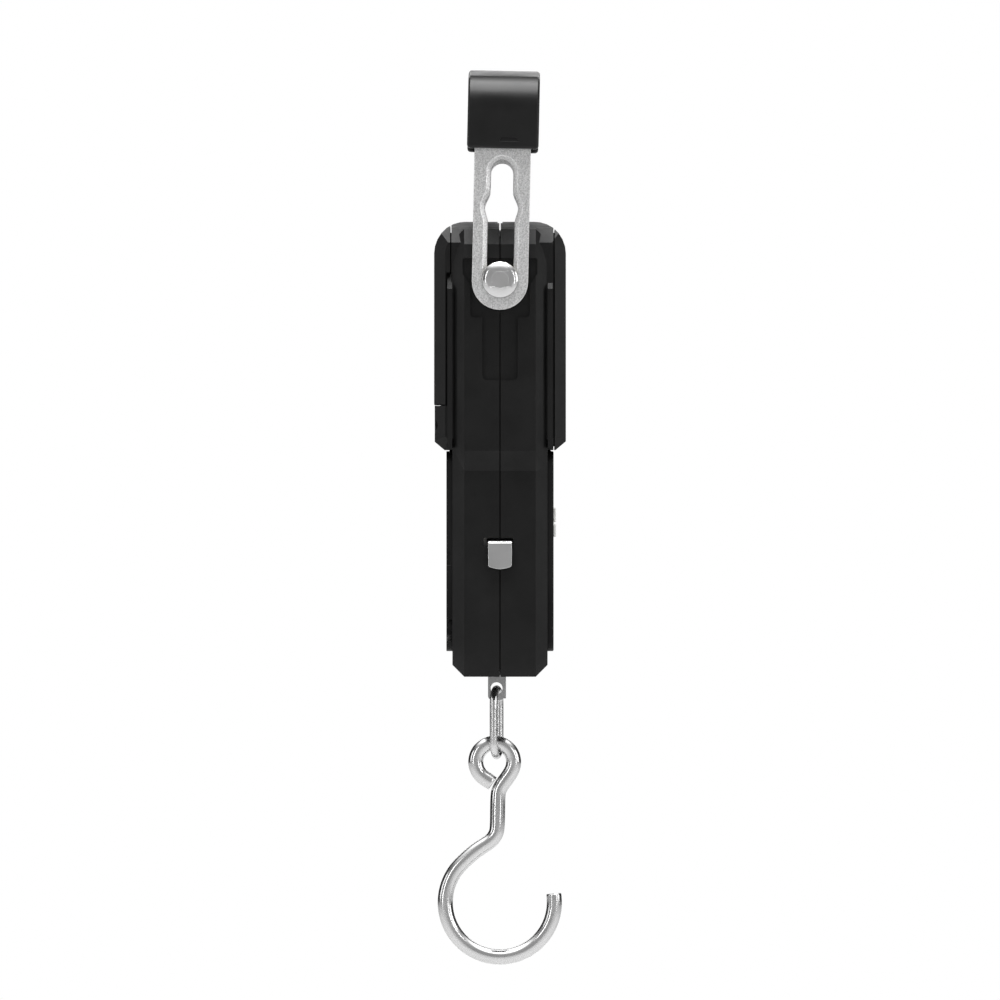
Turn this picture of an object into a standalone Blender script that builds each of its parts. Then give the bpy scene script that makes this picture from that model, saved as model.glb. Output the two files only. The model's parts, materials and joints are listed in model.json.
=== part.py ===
"""Hanging luggage scale with a pull-out tape measure, built as an assembly of separate parts.

Axes: the display faces -Y, X runs across the scale and +Z is up.
The origin is under the middle of the grip, where the fingers carry the scale.
Heights in the constants below are measured from the pivot axis of the bail.
"""

from math import atan2, cos, hypot, pi, radians, sin, sqrt, tan

import bmesh
import bpy
from mathutils import Vector

GAP = 0.0003
OVERCUT = 0.004
SIDE_REACH = 0.045

# ---- bail: a bent steel strap with a slot in each leg, and a plastic grip on its crossbar
STRAP_HALF_SPAN = 0.0360
STRAP_THICKNESS = 0.0025
STRAP_HALF_WIDTH = 0.0070
STRAP_CORNER_RADIUS = 0.0052
STRAP_FOOT_HEIGHT = -0.0005
CROSSBAR_RISE = 0.0017
BAIL_LEAN = radians(1.2)
GRIP_TOP = 0.0525
GRIP_END = 0.0326
GRIP_HALF_WIDTH = 0.0089
GRIP_WEB = 0.0023
GRIP_FLANGE = 0.0015
GRIP_ROUNDING = 0.0011
CATCH_DEPTH = 0.00025
LINER_THICKNESS = 0.0013
SLOT_TOP = 0.0298
SLOT_UPPER_HALF = 0.0028
SLOT_LOWER_HALF = 0.0033
KEYHOLE_HEIGHT = 0.0182
KEYHOLE_REACH = 0.0044
KEYHOLE_HALF = 0.0042
SLOT_CHAMFER = 0.0011

# ---- pivot: a steel shaft across the casing, with a bush and a round-headed screw at each end
SHAFT_RADIUS = 0.0020
SHAFT_HALF_LENGTH = 0.0328
BUSH_SLEEVE_RADIUS = 0.0025
BUSH_FLANGE_RADIUS = 0.0046
BUSH_SLEEVE_BORE = 0.0017
BUSH_INNER_FACE = 0.0307
BUSH_STEP = 0.0331
BUSH_FLANGE_FACE = 0.0332
STUD_RADIUS = 0.00445
STUD_THICKNESS = 0.0017
STUD_SHANK_RADIUS = 0.0014

# ---- casing
BODY_TOP = 0.0148
BODY_BOTTOM = -0.09875
HULL_HALF_WIDTH = 0.0288
HULL_HALF_DEPTH = 0.0164
HULL_TOP_RADIUS = 0.0083
HULL_LOW = -0.04225
HULL_EDGE_CHAMFER = 0.0027
HULL_FOOT_RISE = 0.0021
HULL_FOOT_RUN = 0.0025
# how far the foot chamfer's corners move for each unit that the outline is drawn inset
FOOT_INSET_RISE = (hypot(HULL_FOOT_RISE, HULL_FOOT_RUN) - HULL_FOOT_RISE) / HULL_FOOT_RUN
FOOT_INSET_RUN = (hypot(HULL_FOOT_RISE, HULL_FOOT_RUN) - HULL_FOOT_RUN) / HULL_FOOT_RISE
CORE_HALF_DEPTH = 0.01185
CORE_CHAMFER = 0.00295
UPPER_HALF_WIDTH = 0.0315
WAIST_HALF_WIDTH = 0.0283
BASE_HALF_WIDTH = 0.0303
WALL = 0.0022
FACE_WALL = 0.0018
LIP_INSET = 0.0018
LIP_THICKNESS = 0.0008
LIP_REACH = 0.0010
SEAM = 0.00015
POCKET_DEPTH = 0.0010
PLATE_HALF_WIDTH = 0.0243
PLATE_HALF_DEPTH = 0.01335
PLATE_TOP = -0.0426
PLATE_LOW = -0.0924
PLATE_RECESS = 0.00045
FRONT_HULL_DEPTH = 0.0133
REAR_HULL_DEPTH = 0.0121
DOOR_LOW = -0.0310
POST_RADIUS = 0.0031
POST_REACH = 0.0108
SCREW_BORE_RADIUS = 0.0014
COUNTERBORE_RADIUS = 0.0025
COUNTERBORE_FLOOR = 0.0045
SCREW_HEAD_RADIUS = 0.0021
SCREW_SHANK_RADIUS = 0.0011
BOARD_POST_RADIUS = 0.0022
AXLE_BOSS_RADIUS = 0.0034
RIB_HALF_WIDTH = 0.0298
RIB_INNER = 0.0272
RIB_LOW = -0.0418
RIB_DEPTHS = (0.0119, 0.0131)
TONGUE_ACROSS = (-0.0240, 0.0240)
TONGUE_TOP = 0.0118
BEZEL_TONGUE_LOW = -0.0413
STEP_ACROSS = (-0.0200, 0.0200)
STEP_DEPTHS = (0.0117, 0.0126)
STEP_HEIGHTS = (-0.0432, -0.0412)
SILL_ACROSS = (-0.0262, 0.0262)
SILL_DEPTHS = (0.0124, 0.0148)
SILL_HEIGHTS = (-0.0330, -0.0288)

# ---- display and keypad
WINDOW_HALF_WIDTH = 0.0215
WINDOW_TOP = -0.0020
WINDOW_LOW = -0.0270
BOARD_FRONT = -0.0072
BOARD_THICKNESS = 0.0015
BOARD_HALF_WIDTH = 0.0205
BOARD_SPAN = (-0.0655, -0.0030)
SWITCH_DEPTH = 0.0012
BUTTON_PROUD = 0.00065
BUTTON_TRAVEL_GAP = 0.00055

# ---- batteries
BATTERY_RADIUS = 0.0052
BATTERY_LENGTH = 0.0445
BATTERY_DEPTH_CENTRE = 0.0096
BATTERY_HEIGHTS = (-0.0083, -0.0197)
TRAY_HALF_WIDTH = 0.0278
TRAY_TOP = -0.0015
TRAY_LOW = -0.0270
TRAY_FRONT = 0.0039
TRAY_WALL = 0.0010
TRAY_REAR = 0.0120
TRAY_SIDE_CLEARANCE = 0.0010

# ---- load cell, stirrup and tape reel
CELL_HALF_WIDTH = 0.00635
CELL_HALF_DEPTH = 0.0035
CELL_TOP = 0.0045
CELL_LOW = -0.0460
STIRRUP_HALF_WIDTH = 0.0190
STIRRUP_THICKNESS = 0.0016
STIRRUP_HALF_DEPTH = 0.0046
STIRRUP_LOW = -0.0957
TAB_LOW = -0.10475
TAB_HALF_THICKNESS = 0.00075
TAB_FOLD_REACH = 0.0012
TAB_REAR = 0.0030
TAB_FRONT = -0.0015
TAB_HOLE_DEPTH = 0.00085
TAB_HOLE_HEIGHT = -0.1018
TAB_HOLE_RADIUS = 0.0015
REEL_X = 0.0020
REEL_HEIGHT = -0.0787
COIL_RADIUS = 0.0127
COIL_CORE_RADIUS = 0.0080
TAPE_HALF_WIDTH = 0.0030
TAPE_HEIGHT = -0.0657
TAPE_THICKNESS = 0.0002
TAPE_HOOK_HALF_WIDTH = 0.00295
TAPE_HOOK_LOW = -0.0724
AXLE_RADIUS = 0.0015

# ---- link and hook
LINK_WIRE = 0.0020
LINK_HALF_WIDTH = 0.0036
LINK_TOP = -0.1020
LINK_LOW = -0.11865
LINK_TWIST = radians(-12)
HOOK_WIRE = 0.0038
EYE_DEPTH = 0.00133
EYE_HEIGHT = -0.12025
EYE_RADIUS = 0.0048
EYE_END_ANGLE = radians(-66)
EYE_NECK_ANGLE = radians(215)
EYE_TAIL = (0.00140, 0.00097)
SHANK_DEPTH = 0.0006
BOWL_DEPTH = 0.00005
BOWL_HEIGHT = -0.15535
BOWL_RADIUS = 0.01368
BOWL_NECK_ANGLE = radians(51)
BOWL_TIP_ANGLE = radians(-189)

CASE_SCREWS = ((0.0245, -0.0362), (0.0240, -0.0872))
BOARD_SCREWS = ((-0.0178, -0.0300), (0.0178, -0.0300))

# the pivot axis lies this far above the origin, which is on the underside of the grip
GRIP_HEIGHT = GRIP_WEB + GAP + STRAP_THICKNESS + GAP + LINER_THICKNESS
PIVOT_Z = -(GRIP_TOP - GRIP_HEIGHT) * cos(BAIL_LEAN)
PIVOT_Y = (GRIP_TOP - GRIP_HEIGHT) * sin(BAIL_LEAN)

PLANE_TURN = {"XY": (0, 0, 0), "XZ": (pi / 2, 0, 0), "YZ": (pi / 2, 0, pi / 2)}
PLANE_NORMAL = {"XY": 2, "XZ": 1, "YZ": 0}


# ---------------------------------------------------------------- scene and materials

def clear_scene():
    for thing in list(bpy.data.objects):
        bpy.data.objects.remove(thing)


def new_collection(name):
    collection = bpy.data.collections.new(name)
    bpy.context.scene.collection.children.link(collection)
    return collection


def new_material(name, colour, roughness, metallic=0.0, alpha=1.0):
    material = bpy.data.materials.new(name)
    material.use_nodes = True
    shader = material.node_tree.nodes["Principled BSDF"]
    shader.inputs["Base Color"].default_value = (*colour, 1.0)
    shader.inputs["Roughness"].default_value = roughness
    shader.inputs["Metallic"].default_value = metallic
    shader.inputs["Alpha"].default_value = alpha
    return material


clear_scene()
PARTS = new_collection("luggage_scale")
CUTTERS = new_collection("cutters")

BLACK_PLASTIC = new_material("black_plastic", (0.018, 0.018, 0.019), 0.45)
GRIP_PLASTIC = new_material("grip_plastic", (0.024, 0.024, 0.025), 0.38)
WHITE_PLASTIC = new_material("white_plastic", (0.80, 0.80, 0.78), 0.40)
NYLON = new_material("white_nylon", (0.70, 0.69, 0.65), 0.50)
CAST_STEEL = new_material("blasted_steel", (0.48, 0.48, 0.48), 0.48, 1.0)
POLISHED_STEEL = new_material("polished_steel", (0.72, 0.72, 0.72), 0.14, 1.0)
SPRING_STEEL = new_material("spring_steel", (0.60, 0.60, 0.58), 0.25, 1.0)
ZINC_STEEL = new_material("zinc_plated_steel", (0.66, 0.66, 0.64), 0.30, 1.0)
ALUMINIUM = new_material("milled_aluminium", (0.75, 0.75, 0.76), 0.35, 1.0)
CLEAR_PLASTIC = new_material("clear_window", (0.10, 0.11, 0.11), 0.05, 0.0, 0.35)
LCD_GLASS = new_material("lcd_glass", (0.34, 0.38, 0.30), 0.12)
BACKLIGHT = new_material("light_guide", (0.85, 0.87, 0.90), 0.30)
RUBBER = new_material("conductive_rubber", (0.03, 0.03, 0.03), 0.80)
BOARD_GREEN = new_material("circuit_board", (0.02, 0.14, 0.06), 0.40)
CHIP_BLACK = new_material("chip_epoxy", (0.015, 0.015, 0.015), 0.55)
CELL_WRAP = new_material("battery_wrap", (0.10, 0.10, 0.42), 0.28, 0.3)
TAPE_YELLOW = new_material("tape_enamel", (0.80, 0.62, 0.08), 0.35)


# ---------------------------------------------------------------- shape helpers

def parent_empty(name, location, parent=None):
    empty = bpy.data.objects.new(name, None)
    empty.location = location
    empty.parent = parent
    bpy.context.scene.collection.objects.link(empty)
    return empty


PIVOT = parent_empty("pivot_axis", (0, PIVOT_Y, PIVOT_Z))
BAIL = parent_empty("bail_lean", (0, 0, 0), PIVOT)
BAIL.rotation_euler.x = BAIL_LEAN


def place(name, mesh, material, location=(0, 0, 0), turn=(0, 0, 0), parent=None):
    """Link a part to the model, or a cutter to the hidden cutters when it has no material."""
    thing = bpy.data.objects.new(name, mesh)
    thing.location = location
    thing.rotation_euler = turn
    thing.parent = parent or PIVOT
    if material is None:
        CUTTERS.objects.link(thing)
        thing.hide_render = True
        thing.display_type = "WIRE"
    else:
        PARTS.objects.link(thing)
        mesh.materials.clear()
        mesh.materials.append(material)
    return thing


def outline(corners, segments=4):
    """A closed outline through (x, y, radius) corners, each rounded to its radius."""
    points = []
    for index, (x, y, radius) in enumerate(corners):
        corner = Vector((x, y))
        if radius == 0:
            points.append(tuple(corner))
            continue
        before = (Vector(corners[index - 1][:2]) - corner).normalized()
        after = (Vector(corners[(index + 1) % len(corners)][:2]) - corner).normalized()
        half_angle = before.angle(after) / 2
        centre = corner + (before + after).normalized() * radius / sin(half_angle)
        reach = radius / tan(half_angle)
        start = corner + before * reach - centre
        end = corner + after * reach - centre
        first = atan2(start.y, start.x)
        sweep = (atan2(end.y, end.x) - first + pi) % (2 * pi) - pi
        for step in range(segments + 1):
            angle = first + sweep * step / segments
            points.append((centre.x + radius * cos(angle), centre.y + radius * sin(angle)))
    return points


def rectangle(x_low, x_high, y_low, y_high, radius=0.0, segments=4):
    corners = [(x_low, y_low), (x_high, y_low), (x_high, y_high), (x_low, y_high)]
    return outline([(x, y, radius) for x, y in corners], segments)


def arc(centre, radius, first, last, segments):
    """Points on an arc between two angles, both ends included."""
    steps = [first + (last - first) * step / segments for step in range(segments + 1)]
    return [(centre[0] + radius * cos(angle), centre[1] + radius * sin(angle)) for angle in steps]


def circle(centre, radius, sides=24):
    return arc(centre, radius, 0, 2 * pi, sides)[:-1]


def mirrored(half):
    """Close a half outline, listed from top to bottom at +X, with its mirror image."""
    return half + [(-x, y) for x, y in reversed(half) if x > 0]


def curve_to_mesh(curve_object):
    """Turn a temporary curve object into a welded mesh with outward faces."""
    bpy.context.view_layer.update()
    evaluated = curve_object.evaluated_get(bpy.context.evaluated_depsgraph_get())
    mesh = bpy.data.meshes.new_from_object(evaluated)
    bpy.data.objects.remove(curve_object)
    shape = bmesh.new()
    shape.from_mesh(mesh)
    bmesh.ops.remove_doubles(shape, verts=shape.verts, dist=1e-6)
    bmesh.ops.dissolve_limit(shape, angle_limit=radians(0.05), verts=shape.verts,
                             edges=shape.edges)
    bmesh.ops.recalc_face_normals(shape, faces=shape.faces)
    shape.to_mesh(mesh)
    shape.free()
    return mesh


def prism(name, loops, plane, low, high, material=None, parent=None, at=(0, 0, 0), chamfer=0.0):
    """Extrude flat closed loops between two positions along the normal of their plane."""
    curve = bpy.data.curves.new(name, "CURVE")
    curve.dimensions = "2D"
    curve.fill_mode = "BOTH"
    curve.extrude = (high - low) / 2 - chamfer
    curve.bevel_depth = chamfer
    curve.bevel_resolution = 0
    for loop in loops:
        spline = curve.splines.new("POLY")
        spline.points.add(len(loop) - 1)
        for point, (x, y) in zip(spline.points, loop):
            point.co = (x, y, 0, 1)
        spline.use_cyclic_u = True
    flat = bpy.data.objects.new(name, curve)
    bpy.context.scene.collection.objects.link(flat)
    mesh = curve_to_mesh(flat)
    location = Vector(at)
    location[PLANE_NORMAL[plane]] += (low + high) / 2
    return place(name, mesh, material, location, PLANE_TURN[plane], parent)


def box(name, x_range, y_range, z_range, material=None, parent=None, bevel=0.0):
    """A rectangular block between the given limits, with optional small rounded edges."""
    lows, highs = zip(x_range, y_range, z_range)
    centre = [(low + high) / 2 for low, high in zip(lows, highs)]
    shape = bmesh.new()
    bmesh.ops.create_cube(shape, size=1.0)
    size = [high - low for low, high in zip(lows, highs)]
    bmesh.ops.scale(shape, vec=size, verts=shape.verts)
    mesh = bpy.data.meshes.new(name)
    shape.to_mesh(mesh)
    shape.free()
    block = place(name, mesh, material, centre, parent=parent)
    if bevel:
        round_edges(block, bevel)
    return block


def rod(name, radius, low, high, axis, centre, material=None, parent=None, sides=24, bevel=0.0):
    """A cylinder along an axis between two positions; centre gives its place across the axis."""
    shape = bmesh.new()
    bmesh.ops.create_cone(shape, cap_ends=True, segments=sides, radius1=radius, radius2=radius,
                          depth=high - low)
    mesh = bpy.data.meshes.new(name)
    shape.to_mesh(mesh)
    shape.free()
    location = list(centre)
    location.insert(axis, (low + high) / 2)
    turns = {0: (0, pi / 2, 0), 1: (pi / 2, 0, 0), 2: (0, 0, 0)}
    cylinder = place(name, mesh, material, location, turns[axis], parent)
    if bevel:
        round_edges(cylinder, bevel, segments=1)
    return cylinder


def turned(name, profile, material, location, turn, parent=None, sides=20):
    """Turn a (radius, height) profile, listed from top to bottom, about the object's Z axis."""
    shape = bmesh.new()
    verts = [shape.verts.new((radius, 0, height)) for radius, height in profile]
    for first, second in zip(verts, verts[1:]):
        shape.edges.new((first, second))
    mesh = bpy.data.meshes.new(name)
    shape.to_mesh(mesh)
    shape.free()
    piece = place(name, mesh, material, location, turn, parent)
    screw = piece.modifiers.new("turn", "SCREW")
    screw.steps = sides
    screw.render_steps = sides
    screw.use_merge_vertices = True
    screw.merge_threshold = 1e-6
    return piece


def wire(name, points, diameter, material, location=(0, 0, 0), turn=(0, 0, 0), closed=False,
         parent=None, resolution=3):
    """A round wire along a list of points."""
    curve = bpy.data.curves.new(name, "CURVE")
    curve.dimensions = "3D"
    curve.bevel_depth = diameter / 2
    curve.bevel_resolution = resolution
    curve.use_fill_caps = True
    spline = curve.splines.new("POLY")
    spline.points.add(len(points) - 1)
    for point, where in zip(spline.points, points):
        point.co = (*where, 1)
    spline.use_cyclic_u = closed
    spline.use_smooth = True
    strand = bpy.data.objects.new(name, curve)
    strand.location = location
    strand.rotation_euler = turn
    strand.parent = parent or PIVOT
    curve.materials.append(material)
    PARTS.objects.link(strand)
    return strand


def round_edges(thing, width, segments=2, angle=35):
    bevel = thing.modifiers.new("rounded_edges", "BEVEL")
    bevel.width = width
    bevel.segments = segments
    bevel.limit_method = "ANGLE"
    bevel.angle_limit = radians(angle)
    return thing


def combine(thing, other, operation):
    """Join, cut or intersect a part with another object, which becomes a hidden cutter."""
    modifier = thing.modifiers.new(operation.lower(), "BOOLEAN")
    modifier.operation = operation
    modifier.object = other
    return thing


def cut(thing, *cutters):
    for cutter in cutters:
        combine(thing, cutter, "DIFFERENCE")
    return thing


def join(thing, *others):
    for other in others:
        combine(thing, other, "UNION")
    return thing


def keep_within(thing, *others):
    for other in others:
        combine(thing, other, "INTERSECT")
    return thing


def smooth(thing, angle=40):
    thing.data.shade_smooth()
    thing.data.set_sharp_from_angle(angle=radians(angle))
    return thing


def screw(name, centre, head_low, head_high, shank_end, head_radius, shank_radius, axis,
          material=ZINC_STEEL, parent=None):
    """A round-headed screw with a crossed recess; its head lies between two positions."""
    head = rod(name, head_radius, head_low, head_high, axis, centre, material, parent, 12)
    far_side = shank_end < head_low
    reach = (shank_end, head_low + OVERCUT / 8) if far_side else (head_high - OVERCUT / 8, shank_end)
    join(head, rod(name + "_shank", shank_radius, *reach, axis, centre, None, parent, 8))
    outer = head_high if far_side else head_low
    depth = 0.6 * (head_high - head_low)
    for index, (along, across) in enumerate(((1.3, 0.26), (0.26, 1.3))):
        half = [along * head_radius / 2, across * head_radius / 2]
        ranges = [(place_at - size, place_at + size) for place_at, size in zip(centre, half)]
        ranges.insert(axis, (outer - depth, outer + depth))
        cut(head, box(f"{name}_recess_{index}", *ranges, None, parent))
    return head


# ---------------------------------------------------------------- bail

def bail_path(offset, foot, segments=6):
    """The bail's path at an offset outside the strap's outer face, from right foot to left foot."""
    corner_x = STRAP_HALF_SPAN - STRAP_CORNER_RADIUS
    arch_radius = (corner_x ** 2 + CROSSBAR_RISE ** 2) / (2 * CROSSBAR_RISE)
    strap_top = GRIP_TOP - GRIP_WEB - GAP
    arch_centre = strap_top - arch_radius
    corner_z = arch_centre + sqrt((arch_radius - STRAP_CORNER_RADIUS) ** 2 - corner_x ** 2)
    lean = atan2(corner_x, corner_z - arch_centre)
    radius = STRAP_CORNER_RADIUS + offset
    right = [(STRAP_HALF_SPAN + offset, foot)]
    right += arc((corner_x, corner_z), radius, 0, pi / 2 - lean, segments)
    crossbar = arc((0, arch_centre), arch_radius + offset, pi / 2 - lean, pi / 2 + lean, 2 * segments)
    left = [(-x, z) for x, z in reversed(right)]
    return right + crossbar[1:-1] + left


def bail_band(outer, inner, foot):
    """The outline of a band that follows the bail between two offsets."""
    return bail_path(outer, foot) + bail_path(inner, foot)[::-1]


def keyhole():
    """The slot in a leg: narrow above, a round keyhole part way down, and wider below."""
    half = arc((0, SLOT_TOP - SLOT_UPPER_HALF), SLOT_UPPER_HALF, pi / 2, 0, 6)
    steps = 12
    for step in range(steps + 1):
        share = 2 * step / steps - 1
        base = SLOT_UPPER_HALF if share < 0 else SLOT_LOWER_HALF
        bulge = (1 + cos(pi * share)) / 2
        half.append((base + (KEYHOLE_HALF - base) * bulge, KEYHOLE_HEIGHT - share * KEYHOLE_REACH))
    half += arc((0, 0), SLOT_LOWER_HALF, 0, -pi / 2, 6)
    half[0] = (0, half[0][1])
    half[-1] = (0, half[-1][1])
    return mirrored(half)


def bail_prism(name, loops, plane, low, high, material=None, chamfer=0.0):
    return prism(name, loops, plane, low, high, material, BAIL, chamfer=chamfer)


def make_bail():
    strap = bail_prism("bail_strap", [bail_band(0, -STRAP_THICKNESS, STRAP_FOOT_HEIGHT - 0.012)],
                       "XZ", -0.012, 0.012, CAST_STEEL)
    corner_top = GRIP_TOP + 0.002
    leg = [(STRAP_HALF_WIDTH, corner_top)]
    leg += arc((0, STRAP_FOOT_HEIGHT), STRAP_HALF_WIDTH, 0, -pi, 16)
    leg += [(-STRAP_HALF_WIDTH, corner_top)]
    keep_within(strap, bail_prism("strap_width", [leg], "YZ", -SIDE_REACH, SIDE_REACH))
    cut(strap, bail_prism("slot_cutter", [keyhole()], "YZ", -SIDE_REACH, SIDE_REACH))
    for side, reach in (("left", (-SIDE_REACH, -STRAP_HALF_SPAN + SLOT_CHAMFER)),
                        ("right", (STRAP_HALF_SPAN - SLOT_CHAMFER, SIDE_REACH))):
        cut(strap, bail_prism(f"slot_chamfer_{side}", [keyhole()], "YZ", *reach,
                              chamfer=SLOT_CHAMFER))
    smooth(strap)

    inner = -STRAP_THICKNESS - GAP - LINER_THICKNESS - GAP
    cover = bail_prism("grip_cover", [bail_band(GRIP_WEB + GAP, inner, GRIP_END)], "XZ",
                       -GRIP_HALF_WIDTH, GRIP_HALF_WIDTH, GRIP_PLASTIC)
    round_edges(cover, GRIP_ROUNDING, segments=3, angle=50)
    channel = GRIP_HALF_WIDTH - GRIP_FLANGE
    cut(cover, bail_prism("grip_channel", [bail_band(GAP, inner - 0.0006, GRIP_END - 0.01)], "XZ",
                          -channel, channel))
    catch = [(0.0010, 0.0344), (0.0004, 0.0354), (-0.0034, 0.0354), (-0.0040, 0.0344)]
    face = STRAP_HALF_SPAN + GRIP_WEB + GAP - CATCH_DEPTH
    for side, reach in (("left", (-SIDE_REACH, -face)), ("right", (face, SIDE_REACH))):
        cut(cover, bail_prism(f"grip_catch_{side}", [catch], "YZ", *reach))
    bail_prism("grip_liner", [bail_band(-STRAP_THICKNESS - GAP, inner + GAP, GRIP_END + 0.0003)],
               "XZ", -channel + GAP, channel - GAP, GRIP_PLASTIC)


# ---------------------------------------------------------------- pivot

def make_pivot():
    sleeve_end = STRAP_HALF_SPAN
    rod("pivot_shaft", SHAFT_RADIUS, -SHAFT_HALF_LENGTH, SHAFT_HALF_LENGTH, 0, (0, 0),
        POLISHED_STEEL, bevel=0.0002)
    for side, way in (("left", -1), ("right", 1)):
        turn = (0, way * pi / 2, 0)
        profile = [(BUSH_SLEEVE_BORE, sleeve_end), (BUSH_SLEEVE_RADIUS, sleeve_end),
                   (BUSH_SLEEVE_RADIUS, BUSH_FLANGE_FACE), (BUSH_FLANGE_RADIUS, BUSH_FLANGE_FACE),
                   (BUSH_FLANGE_RADIUS, BUSH_INNER_FACE), (SHAFT_RADIUS + GAP, BUSH_INNER_FACE),
                   (SHAFT_RADIUS + GAP, BUSH_STEP), (BUSH_SLEEVE_BORE, BUSH_STEP),
                   (BUSH_SLEEVE_BORE, sleeve_end)]
        bush = turned(f"pivot_bush_{side}", profile, NYLON, (0, 0, 0), turn, sides=16)
        smooth(bush)
        head_low = STRAP_HALF_SPAN + GAP
        head_high = head_low + STUD_THICKNESS
        stud = turned(f"pivot_screw_{side}", [(0, head_high), (0.0017, head_high - 0.00012),
                                              (0.0029, head_high - 0.00038),
                                              (STUD_RADIUS - 0.0006, head_high - 0.00075),
                                              (STUD_RADIUS, head_high - 0.0012),
                                              (STUD_RADIUS, head_low), (STUD_SHANK_RADIUS, head_low),
                                              (STUD_SHANK_RADIUS, BUSH_STEP), (0, BUSH_STEP)],
                      POLISHED_STEEL, (0, 0, 0), turn)
        face = way * head_high
        groove = sorted((face - way * 0.0005, face + way * 0.002))
        cut(stud, box(f"stud_groove_{side}", groove, (-0.006, 0.006), (-0.0018, 0.0021)))
        cut(stud, rod(f"stud_dimple_{side}", 0.0021, *sorted((face - way * 0.0011,
                                                              face + way * 0.002)), 0, (0, 0)))
        smooth(stud)


# ---------------------------------------------------------------- casing outlines

def core_outline(inset=0.0):
    """The casing seen from the front: wide shoulders, a waist and a flared base."""
    top = BODY_TOP - 0.0003 - inset
    low = BODY_BOTTOM + inset
    half = [(0, top), (0.0150, top - 0.0006), (UPPER_HALF_WIDTH - 0.0045 - inset, top - 0.0018),
            (UPPER_HALF_WIDTH - 0.0012 - inset, 0.0089), (UPPER_HALF_WIDTH - inset, 0.0045),
            (UPPER_HALF_WIDTH - inset, -0.0425), (WAIST_HALF_WIDTH - inset, -0.0475),
            (WAIST_HALF_WIDTH - inset, -0.0744), (BASE_HALF_WIDTH - inset, -0.0796),
            (BASE_HALF_WIDTH - inset, -0.0915), (BASE_HALF_WIDTH - 0.0032 - inset, low)]
    return mirrored(half)


def hull_side(inset):
    """The upper housing seen from the side, round at the top and chamfered below, drawn inset."""
    depth = HULL_HALF_DEPTH - inset
    radius = HULL_TOP_RADIUS - inset
    outer = HULL_LOW + HULL_FOOT_RISE + inset * FOOT_INSET_RISE
    inner = HULL_HALF_DEPTH - HULL_FOOT_RUN - inset * FOOT_INSET_RUN
    return outline([(-depth, BODY_TOP - inset, radius), (depth, BODY_TOP - inset, radius),
                    (depth, outer, 0), (inner, HULL_LOW + inset, 0),
                    (-inner, HULL_LOW + inset, 0), (-depth, outer, 0)], segments=7)


def hull_front():
    """The upper housing seen from the front: an arched top with chamfered corners."""
    half = arc((0, BODY_TOP - 0.170), 0.170, pi / 2, pi / 2 - 0.145, 5)
    edge = half[-1][1]
    half += [(HULL_HALF_WIDTH, edge - 0.0037), (HULL_HALF_WIDTH, HULL_LOW - 0.001)]
    half[0] = (0, BODY_TOP)
    return mirrored(half)


def hull_plan():
    """The upper housing seen from above: a rectangle with chamfered corners."""
    wide, deep, chamfer = HULL_HALF_WIDTH, HULL_HALF_DEPTH, HULL_EDGE_CHAMFER
    return [(wide, -deep + chamfer), (wide, deep - chamfer), (wide - chamfer, deep),
            (-wide + chamfer, deep), (-wide, deep - chamfer), (-wide, -deep + chamfer),
            (-wide + chamfer, -deep), (wide - chamfer, -deep)]


def hull_slice(name, y_range, z_range, material=None, parent=None):
    """The part of the upper housing's outer form that lies between the given limits."""
    piece = prism(name, [hull_side(HULL_EDGE_CHAMFER)], "YZ", -HULL_HALF_WIDTH, HULL_HALF_WIDTH,
                  material, parent, chamfer=HULL_EDGE_CHAMFER)
    return keep_within(piece, HULL_FRONT, HULL_PLAN,
                       box(name + "_limits", (-0.05, 0.05), y_range, z_range))


def core_half(name, way, material):
    """Half of the casing's core, with its outer rim chamfered."""
    low, high = sorted((way * SEAM, way * CORE_HALF_DEPTH))
    half = prism(name, [core_outline()], "XZ", low, high, material)
    chamfer_rim(half, way, high - low, CORE_CHAMFER)
    return half


def chamfer_rim(thing, way, depth, width):
    """Chamfer the rim of the face that looks away from the seam (local z is world -Y)."""
    mesh = thing.data
    weights = mesh.attributes.new("bevel_weight_edge", "FLOAT", "EDGE")
    for edge in mesh.edges:
        heights = [mesh.vertices[index].co.z * -way for index in edge.vertices]
        if min(heights) > depth / 2 - 1e-5:
            weights.data[edge.index].value = 1.0
    bevel = thing.modifiers.new("rim_chamfer", "BEVEL")
    bevel.width = width
    bevel.segments = 1
    bevel.limit_method = "WEIGHT"
    bevel.use_clamp_overlap = False


HULL_FRONT = prism("hull_front_outline", [hull_front()], "XZ", -0.03, 0.03)
HULL_PLAN = prism("hull_plan_outline", [hull_plan()], "XY", -0.06, 0.03)


def side_recess(name, corners, floor):
    """A recess in both side faces, cut down to the given distance from the middle."""
    loops = [outline(corners)]
    return [prism(f"{name}_left", loops, "YZ", -0.034, -floor),
            prism(f"{name}_right", loops, "YZ", floor, 0.034)]


def rib_outline(way):
    """A grip rib seen from the front, sloping out from the housing at its top."""
    return [(way * RIB_INNER, 0.0016), (way * RIB_HALF_WIDTH, -0.0022),
            (way * RIB_HALF_WIDTH, RIB_LOW), (way * RIB_INNER, RIB_LOW)]


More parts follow.
